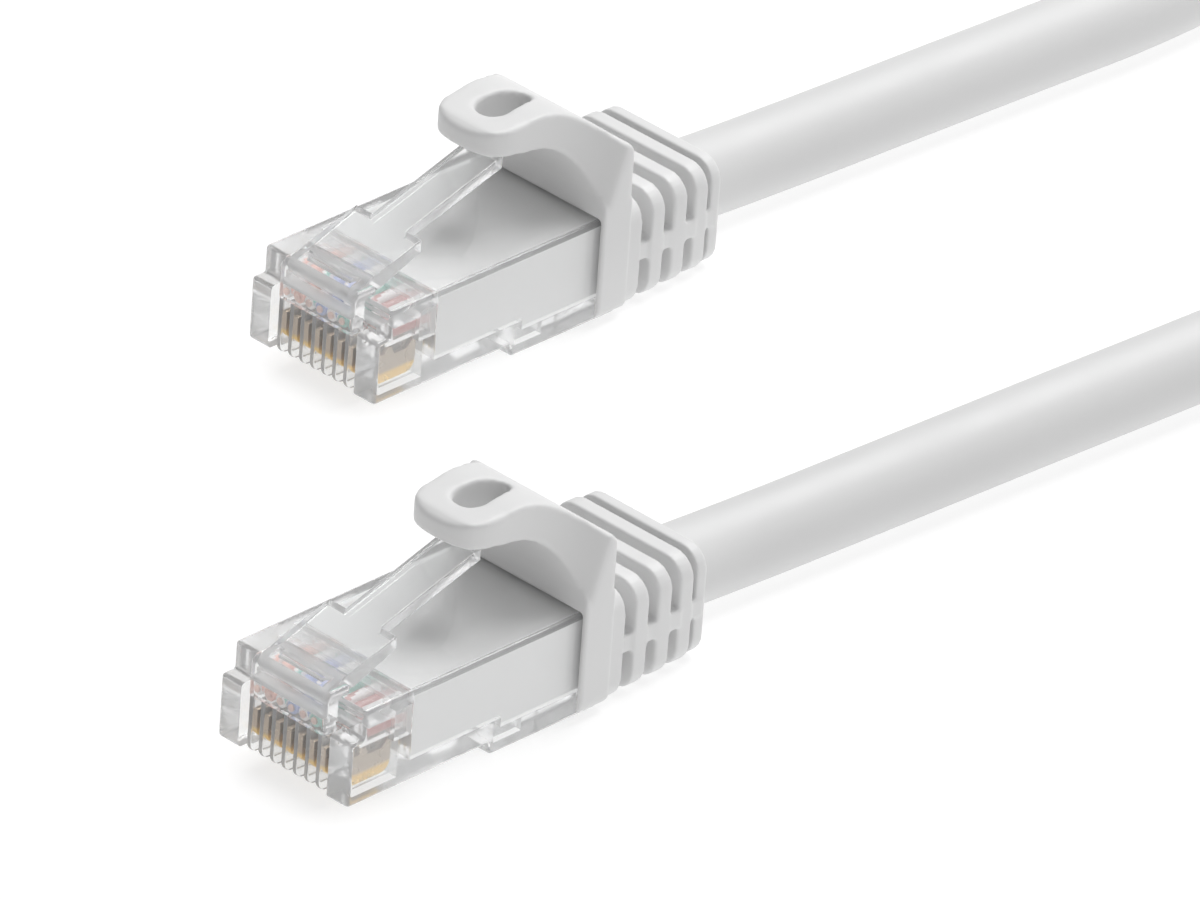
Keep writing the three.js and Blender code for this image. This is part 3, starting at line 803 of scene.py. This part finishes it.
def hood():
    """The arch that rises from the collar and runs forward as a round-nosed release tab with a slot."""
    front = TAB_FRONT
    under = [
        (front + 0.7, 13.5),
        (15.0, 13.4),
        (16.6, 13.2),
        *curve((16.6, 13.2), (18.6, 13.0), (20.0, 11.6), (20.3, 9.0)),
        (20.2, 8.4),
        (20.2, 7.9),
    ]
    over = [
        (COLLAR_BACK, 7.9),
        (COLLAR_BACK, 12.2),
        *curve((COLLAR_BACK, 12.2), (COLLAR_BACK, 12.7), (22.6, 12.9), (22.1, 13.1), 4),
        *curve((22.1, 13.1), (20.4, 14.6), (18.9, 15.75), (16.6, 15.65)),
        (front + 0.7, 15.4),
        (front, 15.1),
        (front, 13.7),
    ]
    arch = prism(under + over, "x", -8, 8)
    wide = COLLAR_HALF_WIDTH
    narrow = TAB_HALF_WIDTH
    tip = mirrored([
        (0, front),
        *curve((0, front), (2.0, front), (narrow, front + 0.7), (narrow, front + 2.9)),
        (9, front + 3.0),
        (9, 30),
    ])
    combine(arch, prism(tip, "z", 0, 20), "INTERSECT")
    # the sides flare out to the collar, and lower down they do so further forward
    flare = prism(mirrored([
        (0, 5),
        (narrow, 5),
        (narrow, 15.5),
        *curve((narrow, 15.5), (3.3, 19.5), (4.7, 20.9), (wide, 22.2), 14),
        (wide, 30),
        (0, 30),
    ]), "z", -5, 20)
    lean = Matrix.Identity(4)
    lean[1][2] = FLARE_LEAN
    lean[1][3] = -FLARE_LEAN * FLARE_LEVEL
    flare.data.transform(lean)
    combine(arch, flare, "INTERSECT")
    near, far, half = TAB_SLOT_FRONT, TAB_SLOT_BACK, TAB_SLOT_HALF_WIDTH
    slot = [
        *arc((0, near), half, 180, 360, 12),
        *curve((half, near), (half, 17.4), (0.75, far), (0, far), 6),
        *curve((0, far), (-0.75, far), (-half, 17.4), (-half, near), 6)[:-1],
    ]
    combine(arch, prism(slot, "z", 9, 20), "DIFFERENCE")
    melt(arch, 0.2, 8)
    return arch


def make_boots(material):
    """Each boot and its release tab as one moulding."""
    collar = prism(rounded_rectangle(COLLAR_HALF_WIDTH, 0.45, 9.4, 0.9), "y", COLLAR_FRONT, COLLAR_BACK)
    pocket = block((-5.9, 5.9), (18, 22.5), (0.2, 7.9))
    combine(collar, pocket, "DIFFERENCE")
    parts = [
        hood(),
        collar,
        prism(rounded_rectangle(4.7, 0.9, 6.8, 1.2), "y", BOOT_CORE_START, BOOT_END - 0.1),
        rod(CABLE_RADIUS + 0.4, (BOOT_CORE_START, BOOT_END - 0.1), 0, BOOT_CABLE_Z, 32),
        block((-5.75, 5.75), (22.6, 29.7), (3.3, 4.6)),
        block((-5.5, 5.5), (29.0, 31.9), (3.3, 4.6)),
    ]
    for start, end, half in RIBS:
        parts.append(prism(rounded_rectangle(half, 0.05, 8.0, 1.6), "y", start, end))
    boot = join(parts)
    melt(boot, 0.13, 4)
    combine(boot, rod(CABLE_RADIUS + 0.02, (22.0, BOOT_END + 2), 0, BOOT_CABLE_Z, 48), "DIFFERENCE")
    for side in SIDES:
        piece = put(boot, f"soft_boot_{side}", side, [material], 60)
        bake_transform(piece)
        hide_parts(f"boot_{side}", f"boot_tab_{side}")
    bpy.data.objects.remove(boot)


# ---- floor and light ---------------------------------------------------------------------------------
def make_floor():
    """Pale paper that glows a little, so that it stays white around the plugs."""
    bm = bmesh.new()
    bmesh.ops.create_grid(bm, x_segments=1, y_segments=1, size=6)
    floor = new_object("floor", bm)
    material, nodes, _ = new_material("floor_paper")
    shader = nodes["Principled BSDF"]
    shader.inputs["Base Color"].default_value = (0.35, 0.35, 0.35, 1)
    shader.inputs["Roughness"].default_value = 0.9
    shader.inputs["Specular IOR Level"].default_value = 0.1
    shader.inputs["Emission Color"].default_value = (1, 1, 1, 1)
    shader.inputs["Emission Strength"].default_value = 0.72
    floor.data.materials.append(material)


def add_softbox(name, azimuth, elevation, distance, size, power):
    """A square area light that faces the plugs."""
    light = bpy.data.lights.new(name, "AREA")
    light.size = size
    light.energy = power
    lamp = bpy.data.objects.new(name, light)
    a, e = math.radians(azimuth), math.radians(elevation)
    back = Vector((math.sin(a) * math.cos(e), -math.cos(a) * math.cos(e), math.sin(e)))
    lamp.location = back * distance
    lamp.rotation_mode = "QUATERNION"
    lamp.rotation_quaternion = back.to_track_quat("Z", "Y")
    lamp.visible_camera = False
    bpy.context.scene.collection.objects.link(lamp)


def light_scene():
    world = bpy.data.worlds.new("studio")
    bpy.context.scene.world = world
    world.use_nodes = True
    world.node_tree.nodes["Background"].inputs["Color"].default_value = (1, 1, 1, 1)
    world.node_tree.nodes["Background"].inputs["Strength"].default_value = 0.34
    add_softbox("key", 190, 62, 0.7, 0.5, 4.3)
    add_softbox("side", 100, 30, 0.7, 0.4, 0.5)
    bpy.context.scene.view_settings.view_transform = "Standard"
    # clear plastic sends light round many corners before it gets out
    bpy.context.scene.cycles.max_bounces = 24
    bpy.context.scene.cycles.transmission_bounces = 24
    bpy.context.scene.cycles.transparent_max_bounces = 24


# ---- build -------------------------------------------------------------------------------------------
make_camera()
make_cable()
white_pvc = soft_plastic("white_pvc", 0.74, 900)
polycarbonate = clear_plastic()
make_boots(white_pvc)
make_clear_plugs(polycarbonate)
make_inner_parts(polycarbonate, white_pvc)
make_contacts(contact_metal())
make_wires()
make_floor()
light_scene()
